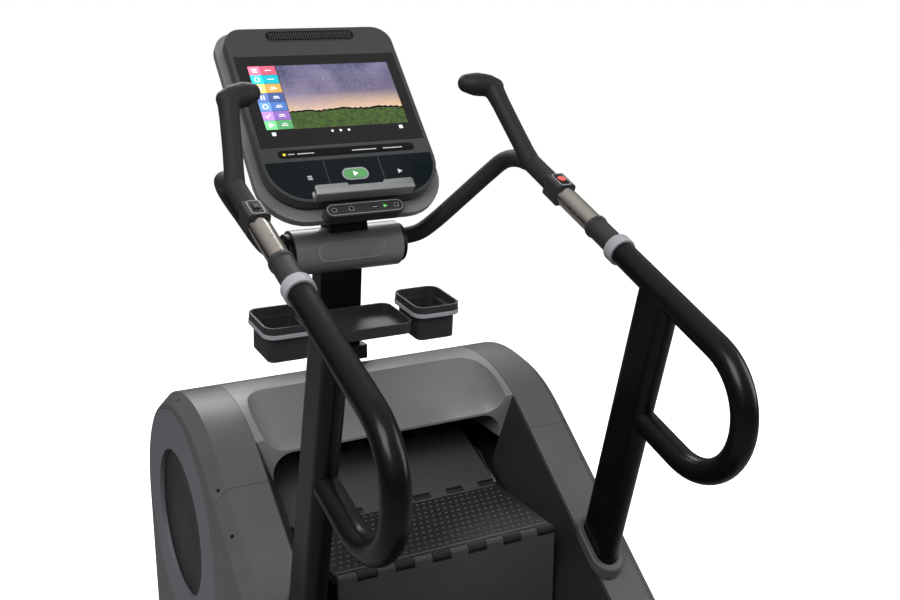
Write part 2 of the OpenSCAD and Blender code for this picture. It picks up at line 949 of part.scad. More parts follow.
module button_shape(r) {
    polygon(rounded([[button_c[0] - 16, button_c[1], r], [button_c[0] + 16, button_c[1], r]]));
}

module keypad() {
    color([0.03, 0.06, 0.07]) placed() on_console() difference() {
        translate([0, 0, -3]) linear_extrude(3.2) keypad_shape(0);
        translate([0, 0, -4]) linear_extrude(6) button_shape(12.3);
    }
}

module start_button() {
    color([0.3, 0.6, 0.3]) placed() on_console()
        translate([0, 0, -6]) linear_extrude(8) button_shape(12);
}

module device_ledge() {
    color([0.6, 0.61, 0.63]) placed() on_console() {
        difference() {
            translate([-117, -146, 0.5]) cube([234, 26, 30]);
            translate([-118, -139, 4]) cube([236, 30, 19]);
            translate([-36, -139, 2]) cube([80, 40, 40]);
        }
    }
}

module port_bar() {
    color([0.2, 0.2, 0.21]) placed() on_console()
        slab([[-77, -167, 17], [77, -167, 17]], 0, -35.5, -5);
}

// Cross-flow blower behind the vent: end plates, blades and shaft
module fan_rotor() {
    fan_l = 190;
    color([0.1, 0.1, 0.1]) placed() on_console() translate([0, fan_c[0], fan_c[1]]) {
        bar_x(-fan_l / 2, fan_l / 2, [0, 0], 6);
        for (x = [-fan_l / 2 + 3, 0, fan_l / 2 - 5])
            bar_x(x, x + 2, [0, 0], 34);
        for (a = [0 : 30 : 330])
            rotate([a, 0, 0]) translate([-fan_l / 2 + 3, -1, 11]) cube([fan_l - 6, 1.5, 6]);
    }
}

// ---- Storage ----

module storage_bins() {
    color([0.13, 0.13, 0.14]) placed() both() on_rims() translate([-bin_x, 0, 0]) difference() {
        union() {
            slab(bin_corners, 0, -26, 0);
            slab(bin_corners, 10, -84, -25);
        }
        slab(bin_corners, 5, -21, 1);
        slab(bin_corners, 14, -80, 1);
    }
}

module bin_bands() {
    color([0.6, 0.62, 0.65]) placed() both() on_rims() translate([-bin_x, 0, 0]) difference() {
        slab(bin_corners, -1.6, -26, -16);
        slab(bin_corners, -0.1, -27, -15);
    }
}

// Shallow pan between the bins, held by an arm on the mast
module tray() {
    pan = [[-92, -49, 24], [92, -49, 24], [92, 51, 24], [-92, 51, 24]];
    pan_z = -29.5;
    color([0.13, 0.13, 0.14]) placed() difference() {
        union() {
            on_rims() slab(pan, 0, pan_z - 26, pan_z);
            on_rims() both() translate([-bin_x + 48.1, -30, pan_z - 18]) cube([30, 60, 10]);
            on_mast() translate([-40, -mast_d / 2 - 30.05, -30]) cube([80, 30, 18]);
        }
        on_rims() slab(pan, 4, pan_z - 22, pan_z + 1);
    }
}

// ---- Floor parts ----

module transport_wheels() {
    color([0.1, 0.1, 0.1]) placed() {
        bar_x(-280, 280, wheel_at, axle_d);
        both() bar_x(-262, -238, wheel_at, 44);
    }
}

module levelling_feet() {
    color([0.15, 0.15, 0.15]) placed() both() for (y = foot_y)
        translate([-rail_x, y, floor_z]) {
            cylinder(h = 12, d = 60);
            cylinder(h = 80, r = foot_r);
        }
}

base_frame();
step_frames();
top_shaft();
top_sprockets();
bottom_shaft();
bottom_sprockets();
shaft_bearings();
chain_front();
chain_return();
chain_top();
chain_bottom();
drive_pulley();
drive_belt();
flywheel();
brake_housing();
front_treads();
front_risers();
hinge_pins();
top_tread();
top_riser();
return_treads();
return_risers();
entry_step();
left_upper_cover();
right_upper_cover();
left_lower_cover();
right_lower_cover();
side_discs();
hood();
front_shroud();
inner_flanks();
cover_screws();
left_handrail();
right_handrail();
handrail_boots();
rail_collars();
grip_sleeves();
pulse_contacts();
left_grip();
right_grip();
switch_boxes();
stop_button();
speed_rocker();
mast();
mast_boot();
neck_housing();
console_bracket();
console_back();
console_bezel();
screen_glass();
keypad();
start_button();
device_ledge();
port_bar();
fan_rotor();
storage_bins();
bin_bands();
tray();
transport_wheels();
levelling_feet();
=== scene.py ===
"""Looks for the stair climber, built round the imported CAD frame, whose lengths are metres."""

import json
import math

import bmesh
import bpy
from mathutils import Matrix, Vector


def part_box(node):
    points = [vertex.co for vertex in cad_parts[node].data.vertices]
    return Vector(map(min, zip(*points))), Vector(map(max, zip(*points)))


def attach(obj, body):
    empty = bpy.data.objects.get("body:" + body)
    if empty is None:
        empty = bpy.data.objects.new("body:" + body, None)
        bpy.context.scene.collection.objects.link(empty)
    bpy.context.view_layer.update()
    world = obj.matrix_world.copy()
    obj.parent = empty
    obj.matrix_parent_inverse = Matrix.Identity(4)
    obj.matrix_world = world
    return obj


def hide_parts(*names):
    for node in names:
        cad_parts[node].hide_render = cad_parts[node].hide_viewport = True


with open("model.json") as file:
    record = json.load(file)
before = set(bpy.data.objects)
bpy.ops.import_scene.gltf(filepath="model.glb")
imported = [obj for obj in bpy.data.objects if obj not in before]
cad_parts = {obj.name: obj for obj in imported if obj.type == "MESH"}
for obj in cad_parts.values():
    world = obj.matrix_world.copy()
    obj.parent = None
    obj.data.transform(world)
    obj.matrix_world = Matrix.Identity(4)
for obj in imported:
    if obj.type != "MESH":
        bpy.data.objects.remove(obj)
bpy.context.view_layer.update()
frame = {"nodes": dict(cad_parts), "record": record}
NODES = frame["nodes"]
MM = 0.001

# The rear edge of the highest visible tread, which most places are measured from.
# The hinge barrels there stand a little past it and above it.
BARREL_PAST = 9
BARREL_UP = 3
TREADS_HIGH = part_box("front_treads")[1]
HINGE = Vector((0, TREADS_HIGH.y - BARREL_PAST * MM, TREADS_HIGH.z - BARREL_UP * MM))
STEP_RUN = 250
STEP_RISE = 203


def place(x, y, z):
    """A point given in mm from the top tread's rear edge, in the row frame."""
    return HINGE + Vector((x, y, z)) * MM


def frame_at(x, y, z, tilt=0.0):
    """Axes at a place, turned about X by tilt degrees."""
    return Matrix.Translation(place(x, y, z)) @ Matrix.Rotation(math.radians(tilt), 4, "X")


# Console face (x across, y up the face, z out of it) from the middle of the glass's lower edge
CONSOLE = frame_at(0, 253, 773, 48)
# Neck housing's axis
NECK_Y, NECK_Z, NECK_R = 276, 528, 52
# Handrails: distance from the middle, place of the collar and slope of the rail
RAIL_X = 337
COLLAR = (-326, 611)
RAIL_SLOPE = 21
# Places of the switches along the rail, and of the round side panels
BUTTON_S = 237.5
DISC = (238, -55)
SIDES = ((-1, "left"), (1, "right"))


# ---- Materials ----


class Nodes:
    """Builds a node tree a line at a time."""

    def __init__(self, name):
        self.material = bpy.data.materials.new(name)
        self.material.use_nodes = True
        self.tree = self.material.node_tree
        self.shader = self.tree.nodes["Principled BSDF"]

    def add(self, kind, **inputs):
        node = self.tree.nodes.new("ShaderNode" + kind)
        for name, value in inputs.items():
            self.put(node.inputs[name], value)
        return node

    def put(self, socket, value):
        if isinstance(value, bpy.types.NodeSocket):
            self.tree.links.new(value, socket)
        else:
            socket.default_value = value

    def set(self, name, value):
        self.put(self.shader.inputs[name], value)

    def position(self):
        return self.add("TexCoord").outputs["Object"]

    def noise(self, scale, detail=3.0, vector=None):
        node = self.add("TexNoise", Scale=scale, Detail=detail)
        self.put(node.inputs["Vector"], vector or self.position())
        return node.outputs["Fac"]

    def ramp(self, value, low, high):
        node = self.add("MapRange")
        self.put(node.inputs["Value"], value)
        node.inputs["From Min"].default_value = 0.3
        node.inputs["From Max"].default_value = 0.7
        node.inputs["To Min"].default_value = low
        node.inputs["To Max"].default_value = high
        return node.outputs["Result"]

    def mix(self, factor, a, b):
        node = self.tree.nodes.new("ShaderNodeMix")
        node.data_type = "RGBA"
        self.put(node.inputs["Factor"], factor)
        self.put(node.inputs["A"], a)
        self.put(node.inputs["B"], b)
        return node.outputs["Result"]

    def bump(self, height, strength, distance):
        node = self.add("Bump")
        node.inputs["Strength"].default_value = strength
        node.inputs["Distance"].default_value = distance
        self.put(node.inputs["Height"], height)
        return node.outputs["Normal"]


def colour(value, k=1.0):
    return (value[0] * k, value[1] * k, value[2] * k, 1.0)


def surface(
    name, base, rough, grain=900.0, depth=0.15, metal=0.0, coat=0.0, wear=0.25, shine=0.3
):
    """Moulded, painted or cast surface with fine grain, cloudy tone and paler worn edges."""
    n = Nodes(name)
    cloud = n.noise(6.0, 4.0)
    fine = n.noise(grain, 2.0)
    tone = n.mix(n.ramp(cloud, 0, 1), colour(base, 0.9), colour(base, 1.1))
    edge = n.add("NewGeometry").outputs["Pointiness"]
    worn = n.add("MapRange")
    n.put(worn.inputs["Value"], edge)
    worn.inputs["From Min"].default_value = 0.52
    worn.inputs["From Max"].default_value = 0.62
    worn.inputs["To Max"].default_value = wear
    pale = [c * 1.9 + 0.03 for c in base]
    n.set("Base Color", n.mix(worn.outputs["Result"], tone, colour(pale)))
    n.set("Roughness", n.ramp(cloud, rough * 0.92, min(1.0, rough * 1.1)))
    n.set("Metallic", metal)
    n.set("Coat Weight", coat)
    n.set("Coat Roughness", 0.18)
    n.set("Specular IOR Level", shine)
    n.set("Normal", n.bump(fine, depth, 0.0004))
    return n.material


def brushed(name, base, rough, along=(1, 30, 30), metal=1.0):
    """Brushed metal: fine streaks along one axis."""
    n = Nodes(name)
    mapping = n.add("Mapping")
    n.put(mapping.inputs["Vector"], n.position())
    mapping.inputs["Scale"].default_value = along
    streak = n.noise(60.0, 6.0, mapping.outputs["Vector"])
    n.set("Base Color", n.mix(n.ramp(streak, 0, 1), colour(base, 0.8), colour(base, 1.15)))
    n.set("Roughness", n.ramp(streak, rough * 0.8, rough * 1.25))
    n.set("Metallic", metal)
    n.set("Normal", n.bump(streak, 0.08, 0.0003))
    return n.material


def glowing(name, base, strength):
    """Lit plastic or display surface with faint mottling; printed marks made with it get a painted
    glow.
    """
    n = Nodes(name)
    tone = n.mix(n.ramp(n.noise(40.0), 0, 1), colour(base, 0.92), colour(base, 1.08))
    n.set("Base Color", tone)
    n.set("Emission Color", tone)
    n.set("Emission Strength", strength)
    n.set("Roughness", 0.3)
    return n.material


MATERIALS = {
    "frame_steel": surface("frame_steel", (0.018, 0.018, 0.02), 0.5),
    "drive_steel": brushed("drive_steel", (0.32, 0.33, 0.35), 0.35),
    "belt_rubber": surface("belt_rubber", (0.015, 0.015, 0.015), 0.8),
    "tread_plastic": surface(
        "tread_plastic", (0.009, 0.009, 0.0095), 0.5, 500, 0.25, shine=0.15
    ),
    "riser_plastic": surface("riser_plastic", (0.036, 0.036, 0.037), 0.38, shine=0.2),
    "cover_plastic": surface("cover_plastic", (0.06, 0.0603, 0.0607), 0.42, depth=0.12),
    "disc_plastic": surface("disc_plastic", (0.098, 0.102, 0.115), 0.45),
    "hood_plastic": surface("hood_plastic", (0.125, 0.126, 0.128), 0.4, depth=0.12),
    "screw_steel": surface("screw_steel", (0.01, 0.01, 0.01), 0.35, metal=0.8),
    "rail_paint": surface(
        "rail_paint", (0.003, 0.003, 0.0032), 0.3, 1400, 0.08, coat=0.1, wear=0.05, shine=0.12
    ),
    "collar_plastic": surface("collar_plastic", (0.26, 0.265, 0.285), 0.45),
    "sleeve_plastic": surface("sleeve_plastic", (0.022, 0.022, 0.023), 0.42, shine=0.25),
    "contact_steel": brushed("contact_steel", (0.42, 0.38, 0.35), 0.2),
    "grip_rubber": surface("grip_rubber", (0.013, 0.013, 0.0135), 0.6, 1500, 0.3, shine=0.22),
    "stop_red": surface("stop_red", (0.62, 0.09, 0.075), 0.3, coat=0.3),
    "neck_plastic": surface("neck_plastic", (0.13, 0.131, 0.133), 0.3, shine=0.4),
    "shell_silver": surface("shell_silver", (0.2, 0.203, 0.21), 0.34, metal=0.35),
    "bezel_grey": surface("bezel_grey", (0.036, 0.037, 0.039), 0.38, depth=0.1),
    "screen_glass": surface(
        "screen_glass", (0.004, 0.004, 0.0045), 0.1, 30, 0.0, wear=0.0, shine=0.3
    ),
    "keypad_film": surface(
        "keypad_film", (0.003, 0.0065, 0.0075), 0.25, 800, 0.05, wear=0.02, shine=0.12
    ),
    "start_green": glowing("start_green", (0.07, 0.24, 0.08), 0.25),
    "ledge_silver": brushed("ledge_silver", (0.3, 0.305, 0.31), 0.38, (30, 1, 1), 0.8),
    "bin_plastic": surface("bin_plastic", (0.02, 0.0205, 0.022), 0.5, 700, 0.2, shine=0.25),
    "wheel_rubber": surface("wheel_rubber", (0.02, 0.02, 0.02), 0.7),
}
# Darker copy of the cover plastic for the inner flanks: painted shade on these inward faces.
SHADED_FLANK = surface("flank_painted_shade", (0.012, 0.012, 0.0125), 0.45, shine=0.25)
TREAD_DOTS = surface("tread_dots", (0.05, 0.05, 0.051), 0.42, 900, 0.1)
BLACK_HUB = surface("hub_plastic", (0.012, 0.012, 0.0122), 0.5, shine=0.15)


# ---- Helpers for meshes, with lengths in mm ----


def add_object(name, data):
    obj = bpy.data.objects.new(name, data)
    bpy.context.scene.collection.objects.link(obj)
    return obj


def mesh_of(name, work):
    """Mesh from a bmesh in mm from the top tread's rear edge. The bmesh is freed."""
    for vert in work.verts:
        vert.co = HINGE + vert.co * MM
    mesh = bpy.data.meshes.new(name)
    work.to_mesh(mesh)
    work.free()
    return mesh


def finish(obj, material, body="machine", smooth=40.0):
    """Outward normals, smooth shading with hard edges kept, a material, and the body to ride on."""
    mesh = obj.data
    work = bmesh.new()
    work.from_mesh(mesh)
    bmesh.ops.remove_doubles(work, verts=work.verts, dist=0.001 * MM)
    bmesh.ops.recalc_face_normals(work, faces=work.faces)
    work.to_mesh(mesh)
    work.free()
    mesh.materials.append(material)
    for face in mesh.polygons:
        face.use_smooth = True
    mesh.set_sharp_from_angle(angle=math.radians(smooth))
    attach(obj, body)
    return obj


def solids(name, shapes, axes, material, closed=False, body="machine"):
    """Skins over lists of rings, each closed back to its first ring or capped at both ends."""
    verts, faces = [], []
    for rings in shapes:
        count = len(rings[0])
        first = len(verts)
        verts += [axes @ (Vector(p) * MM) for ring in rings for p in ring]
        for k in range(len(rings) if closed else len(rings) - 1):
            a = first + k * count
            b = first + (k + 1) % len(rings) * count
            for i in range(count):
                j = (i + 1) % count
                faces.append((a + i, a + j, b + j, b + i))
        if not closed:
            faces.append(tuple(range(first, first + count)))
            faces.append(tuple(range(len(verts) - count, len(verts))))
    mesh = bpy.data.meshes.new(name)
    mesh.from_pydata(verts, [], faces)
    return finish(add_object(name, mesh), material, body)


def loft(name, rings, axes, material, closed=False):
    return solids(name, [rings], axes, material, closed)


def touch(a, b):
    """Angle of the outward normal of the line that touches circles a and b."""
    across, up = b[0] - a[0], b[1] - a[1]
    return math.atan2(up, across) - math.acos((a[2] - b[2]) / math.hypot(across, up))


def outline(circles, inset=0.0, steps=8):
    """Points of the shape stretched round circles (x, y, radius), made smaller by inset."""
    points = []
    for i, here in enumerate(circles):
        start = touch(circles[i - 1], here)
        turn = (touch(here, circles[(i + 1) % len(circles)]) - start) % (2 * math.pi)
        for k in range(steps + 1):
            angle = start + turn * k / steps
            reach = here[2] - inset
            points.append((here[0] + reach * math.cos(angle), here[1] + reach * math.sin(angle)))
    return points


def at_height(points, z):
    return [(x, y, z) for x, y in points]


def pill(x, y, half_w, half_h):
    """Circles of a bar with round ends, centred on x and y."""
    if half_w >= half_h:
        reach = max(half_w - half_h, 0.01)
        return [(x - reach, y, half_h), (x + reach, y, half_h)]
    reach = half_h - half_w
    return [(x, y - reach, half_w), (x, y + reach, half_w)]


def box_of(x0, x1, y0, y1, r):
    return [(x0 + r, y0 + r, r), (x1 - r, y0 + r, r), (x1 - r, y1 - r, r), (x0 + r, y1 - r, r)]


def plates(name, shapes, z0, z1, material, edge=0.15, body="machine"):
    """Flat plates on the console with a small rounded upper edge, as one piece."""
    levels = ((0, z0), (0, z1 - edge), (edge * 0.3, z1 - edge * 0.3), (edge, z1))
    ring_sets = [
        [at_height(outline(circles, inset, 6), z) for inset, z in levels] for circles in shapes
    ]
    return solids(name, ring_sets, CONSOLE, material, body=body)


def plate(name, circles, z0, z1, material, edge=0.15, body="machine"):
    return plates(name, [circles], z0, z1, material, edge, body)


def band(name, circles, outer, inner, z0, z1, material, axes=CONSOLE):
    """Ring between two insets of a shape, with softened upper edges."""
    soft = min(0.25 * (z1 - z0), 0.25 * (inner - outer))
    rings = [
        at_height(outline(circles, outer), z0),
        at_height(outline(circles, outer), z1 - soft),
        at_height(outline(circles, outer + soft), z1),
        at_height(outline(circles, inner - soft), z1),
        at_height(outline(circles, inner), z1 - soft),
        at_height(outline(circles, inner), z0),
    ]
    return loft(name, rings, axes, material, closed=True)


def ring_at(x, y, z, r, count=48):
    """Circle round the X direction."""
    angles = [2 * math.pi * k / count for k in range(count)]
    return [(x, y + r * math.cos(a), z + r * math.sin(a)) for a in angles]


def curve_through(points, steps=8):
    """Smooth path through points."""
    pts = [Vector(p) for p in points]
    pts = [2 * pts[0] - pts[1]] + pts + [2 * pts[-1] - pts[-2]]
    path = []
    for a, b, c, d in zip(pts, pts[1:], pts[2:], pts[3:]):
        for k in range(steps):
            t = k / steps
            path.append(0.5 * (
                2 * b + (c - a) * t + (2 * a - 5 * b + 4 * c - d) * t * t
                + (3 * b - a - 3 * c + d) * t ** 3
            ))
    return path + [pts[-2]]


TUBE_SIDES = 24
END_ANGLES = (0.6, 1.1, 1.45)


def tube_into(work, path, radii, round_ends=True):
    """Adds a tube along path to a bmesh, in mm from the top tread's rear edge."""
    path = [Vector(p) for p in path]
    if round_ends:
        first = (path[0] - path[1]).normalized() * radii[0]
        last = (path[-1] - path[-2]).normalized() * radii[-1]
        head = [
            (path[0] + first * math.sin(a), radii[0] * math.cos(a)) for a in reversed(END_ANGLES)
        ]
        tail = [(path[-1] + last * math.sin(a), radii[-1] * math.cos(a)) for a in END_ANGLES]
    else:
        head = tail = []
    stations = head + list(zip(path, radii)) + tail
    side = Vector((0.31, 0.17, 0.93))
    rings = []
    for k, (centre, r) in enumerate(stations):
        ahead = stations[min(k + 1, len(stations) - 1)][0] - stations[max(k - 1, 0)][0]
        ahead.normalize()
        side = (side - ahead * side.dot(ahead)).normalized()
        other = ahead.cross(side)
        angles = [2 * math.pi * i / TUBE_SIDES for i in range(TUBE_SIDES)]
        rings.append([
            work.verts.new(centre + r * (side * math.cos(a) + other * math.sin(a))) for a in angles
        ])
    for a, b in zip(rings, rings[1:]):
        for i in range(TUBE_SIDES):
            j = (i + 1) % TUBE_SIDES
            work.faces.new((a[i], a[j], b[j], b[i]))
    work.faces.new(rings[0])
    work.faces.new(rings[-1])


def fused(name, work, voxel, passes, material):
    """One smooth skin round the overlapping closed shapes in a bmesh."""
    bmesh.ops.recalc_face_normals(work, faces=work.faces)
    obj = add_object(name, mesh_of(name, work))
    remesh = obj.modifiers.new("skin", "REMESH")
    remesh.mode = "VOXEL"
    remesh.voxel_size = voxel * MM
    relax = obj.modifiers.new("relax", "SMOOTH")
    relax.factor = 0.5
    relax.iterations = passes
    shaped = obj.evaluated_get(bpy.context.evaluated_depsgraph_get())
    obj.data = bpy.data.meshes.new_from_object(shaped)
    obj.modifiers.clear()
    return finish(obj, material, smooth=180.0)


def dress_cad(node, slot_name, bevel):
    """Gives a CAD node its material, with small rounded edges added by modifiers."""
    obj = NODES[node]
    obj.data.materials.clear()
    obj.data.materials.append(MATERIALS[slot_name])
    for face in obj.data.polygons:
        face.use_smooth = True
    weld = obj.modifiers.new("weld", "WELD")
    weld.merge_threshold = 0.02 * MM
    if bevel:
        edge = obj.modifiers.new("edge", "BEVEL")
        edge.width = bevel * MM
        edge.segments = 3
        edge.limit_method = "ANGLE"
        edge.angle_limit = math.radians(38)
        edge.use_clamp_overlap = True
        edge.miter_outer = "MITER_ARC"
    split = obj.modifiers.new("sharp", "EDGE_SPLIT")
    split.split_angle = math.radians(32)
    if bevel:
        weighted = obj.modifiers.new("normals", "WEIGHTED_NORMAL")
        weighted.keep_sharp = True


# Widths of the rounded edges in mm, where they differ from the usual one
USUAL_BEVEL = 1.2
BEVELS = {
    "storage_bins": 1.8, "tray": 1.6, "console_bezel": 2.0, "device_ledge": 2.0, "port_bar": 3.0,
    "hood": 1.0, "cover_screws": 0.4, "stop_button": 1.6, "start_button": 1.0, "keypad": 0.3,
    "screen_glass": 0.4, "rail_collars": 2.0, "grip_sleeves": 1.5, "console_bracket": 3.0,
    "console_back": 2.5, "switch_boxes": 1.5, "neck_housing": 4.0, "handrail_boots": 3.0,
}
for part in frame["record"]["subparts"]:
    dress_cad(part["node"], part["material_slot"], BEVELS.get(part["node"], USUAL_BEVEL))
# The inner flanks take the darker copy of the cover plastic, which paints shade on them.
NODES["inner_flanks"].data.materials[0] = SHADED_FLANK


# ---- Rubber covered front tubes ----


def rail_point(s):
    """Place on the right rail's axis, s mm up from its collar."""
    slope = math.radians(RAIL_SLOPE)
    return (RAIL_X, COLLAR[0] + s * math.cos(slope), COLLAR[1] + s * math.sin(slope))


def build_grip(side, name):
    """Moulded fork: rail end, leaning grip with its knob, and cross tube to the neck."""
    def mirrored(points):
        return [(side * x, y, z) for x, y, z in points]

    work = bmesh.new()
    fork = (RAIL_X, 6, 738)
    tube_into(work, mirrored([rail_point(264), rail_point(352)]), [21, 21], False)
    shaft = [fork, (332, 24, 760), (322, 60, 808), (312, 100, 860), (305, 125, 893)]
    tube_into(work, mirrored(shaft), [21, 20, 20, 20.5, 23])
    knob = [(311, 125, 895), (300, 129, 897), (285, 134, 899), (268, 140, 901), (252, 146, 903)]
    tube_into(work, mirrored(knob), [20, 24, 25.5, 26, 22])
    cross = curve_through([
        fork, (336, 62, 741), (328, 108, 731), (308, 142, 700), (261, 189, 638),
        (219, 231, 583), (189, 258, 552), (158, NECK_Y, NECK_Z + 13), (120, NECK_Y, NECK_Z + 12),
    ])
    tube_into(work, mirrored(cross), [20] * len(cross))
    skin = fused(f"{name}_skin", work, 2.6, 8, MATERIALS["grip_rubber"])
    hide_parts(name)


for grip_side, grip_name in SIDES:
    build_grip(grip_side, f"{grip_name}_grip")


# ---- Treads ----


DIMPLE_SIDES = 10
DECK_HALF = 238
RIB_HALF = 244
DIMPLES_ACROSS = 30


def dimple_rows(work, x_half, y_from, y_to, z, across, deep):
    """Small oblong domes in rows over a deck."""
    for row in range(deep):
        y = y_from + (y_to - y_from) * (row + 0.5) / deep
        for col in range(across):
            x = -x_half + 2 * x_half * (col + 0.5 + 0.25 * (row % 2 * 2 - 1)) / across
            base, top = [], []
            for k in range(DIMPLE_SIDES):
                angle = 2 * math.pi * k / DIMPLE_SIDES
                long, short = math.cos(angle), math.sin(angle)
                base.append(work.verts.new((x + 4.2 * long, y + 2.2 * short, z - 0.3)))
                top.append(work.verts.new((x + 2.6 * long, y + 1.1 * short, z + 1.3)))
            for k in range(DIMPLE_SIDES):
                j = (k + 1) % DIMPLE_SIDES
                work.faces.new((base[k], base[j], top[j], top[k]))
            work.faces.new(top)
            work.faces.new(base)


def rib(work, x_half, y, z, width, height):
    """Low ridge across a deck."""
    section = ((-width, -0.3), (-width * 0.5, height), (width * 0.5, height), (width, -0.3))
    a, b = [
        [work.verts.new((x, y + dy, z + dz)) for dy, dz in section] for x in (-x_half, x_half)
    ]
    for k in range(4):
        work.faces.new((a[k], a[(k + 1) % 4], b[(k + 1) % 4], b[k]))
    work.faces.new(a)
    work.faces.new(b)


def raised_grip(name, decks, body):
    """Dimples and two ribs on each deck, as one piece."""
    work = bmesh.new()
    for y_from, y_to, z in decks:
        deep = max(4, int(abs(y_to - y_from) / 19))
        dimple_rows(work, DECK_HALF, y_from, y_to, z, DIMPLES_ACROSS, deep)
        for y in (y_from + 5, y_to - 5):
            rib(work, RIB_HALF, y, z, 2.0, 1.2)
    finish(add_object(name, mesh_of(name, work)), TREAD_DOTS, body, 50.0)


raised_grip("tread_dimples", [
    (-i * STEP_RUN - 20, -(i + 1) * STEP_RUN + 22, -i * STEP_RISE) for i in range(4)
], "front_run")
raised_grip("entry_dimples", [(-1010, -1195, -4 * STEP_RISE)], "machine")


# ---- Console ----

BLACK = surface("console_black", (0.003, 0.003, 0.0032), 0.35, 900, 0.05, wear=0.0, shine=0.12)
PALE = surface("console_pale", (0.3, 0.31, 0.33), 0.45, 900, 0.05, wear=0.0)
FACE = [(-112, -50, 95), (112, -50, 95), (162, 282, 45), (-162, 282, 45)]
LIGHT_LINES = glowing("glyph_white", (0.82, 0.83, 0.85), 0.45)
DIVIDER = surface("divider_grey", (0.08, 0.085, 0.09), 0.5, wear=0.0)
# Printed marks on the label strip and keypad, given a faint glow though they are print: painted
# light.
PRINT_PAINTED_GLOW = glowing("glyph_dim_painted_glow", (0.45, 0.47, 0.5), 0.25)
# Display's left, right, lower and upper edges, and the edges of the tiles' two columns
DISPLAY = (-172, 172, 26, 220)
TILE_SPLIT = (-172, -145, -108)
# Middles of the vent, the printed strip and the bar of ports
VENT_X, VENT_Y = 3, 304
STRIP_Y = -20
BAR_Y = -167
BAR_Z = -5.0
# How far the lowest layer of a printed part stands off the face
LIFT = 0.05
TILES = [
    ((0.62, 0.10, 0.17), "bars"), ((0.0, 0.42, 0.52), "ring"), ((0.62, 0.36, 0.08), "disc"),
    ((0.05, 0.09, 0.26), "pair"), ((0.07, 0.17, 0.46), "ring"), ((0.25, 0.13, 0.45), "check"),
    ((0.09, 0.34, 0.13), "play"),
]


def sky_material():
    """Dusk sky: warm at the horizon, violet above, with a faint cloudy streak and stars."""
    n = Nodes("screen_sky")
    split = n.add("SeparateXYZ")
    n.put(split.inputs["Vector"], n.add("TexCoord").outputs["Generated"])
    ramp = n.add("ValToRGB")
    n.put(ramp.inputs["Fac"], split.outputs["Z"])
    stops = ramp.color_ramp.elements
    stops[0].position, stops[0].color = 0.25, (0.5, 0.33, 0.19, 1)
    stops[1].position, stops[1].color = 1.0, (0.02, 0.026, 0.075, 1)
    middle = stops.new(0.55)
    middle.color = (0.085, 0.07, 0.115, 1)
    streak = n.ramp(n.noise(9.0, 8.0), -0.2, 0.5)
    glow = n.mix(streak, ramp.outputs["Color"], (0.2, 0.17, 0.26, 1))
    stars = n.add("MapRange")
    n.put(stars.inputs["Value"], n.noise(900.0, 1.0))
    stars.inputs["From Min"].default_value = 0.7
    stars.inputs["From Max"].default_value = 0.76
    tone = n.mix(stars.outputs["Result"], glow, (0.9, 0.9, 1, 1))
    n.set("Base Color", tone)
    n.set("Emission Color", tone)
    n.set("Emission Strength", 0.8)
    n.set("Roughness", 0.2)
    return n.material


def field_material():
    """Dark grass with paler tufts."""
    n = Nodes("screen_field")
    grass = n.ramp(n.noise(120.0, 6.0), 0, 1)
    tone = n.mix(grass, (0.006, 0.018, 0.001, 1), (0.035, 0.075, 0.006, 1))
    n.set("Base Color", tone)
    n.set("Emission Color", tone)
    n.set("Emission Strength", 0.8)
    n.set("Roughness", 0.3)
    return n.material


def arrow(x0, x1, y, half):
    """Circles of a triangle that points along x."""
    return [(x0, y - half, 0.8), (x1, y, 0.8), (x0, y + half, 0.8)]


def glyph(kind, name, x, y, size, material):
    """Plain symbol on a tile."""
    z0, z1 = 0.4, 0.62
    if kind == "ring":
        band(name, pill(x, y, size * 0.85, size * 0.85), 0, size * 0.28, z0, z1, material)
        return
    shapes = {
        "bars": [pill(x, y + dy * size, size * 0.8, size * 0.14) for dy in (-0.55, 0, 0.55)],
        "disc": [pill(x, y, size * 0.7, size * 0.7)],
        "pair": [pill(x + dx * size, y, size * 0.2, size * 0.8) for dx in (-0.4, 0.4)],
        "check": [
            [(x - size * 0.3, y - size * 0.5, 1.0), (x + size * 0.7, y + size * 0.6, 1.0)],
            [(x - size * 0.75, y, 1.0), (x - size * 0.3, y - size * 0.5, 1.0)],
        ],
        "play": [arrow(x - size * 0.5, x + size * 0.8, y, size * 0.7)],
    }
    plates(name, shapes[kind], z0, z1, material, edge=0.05)


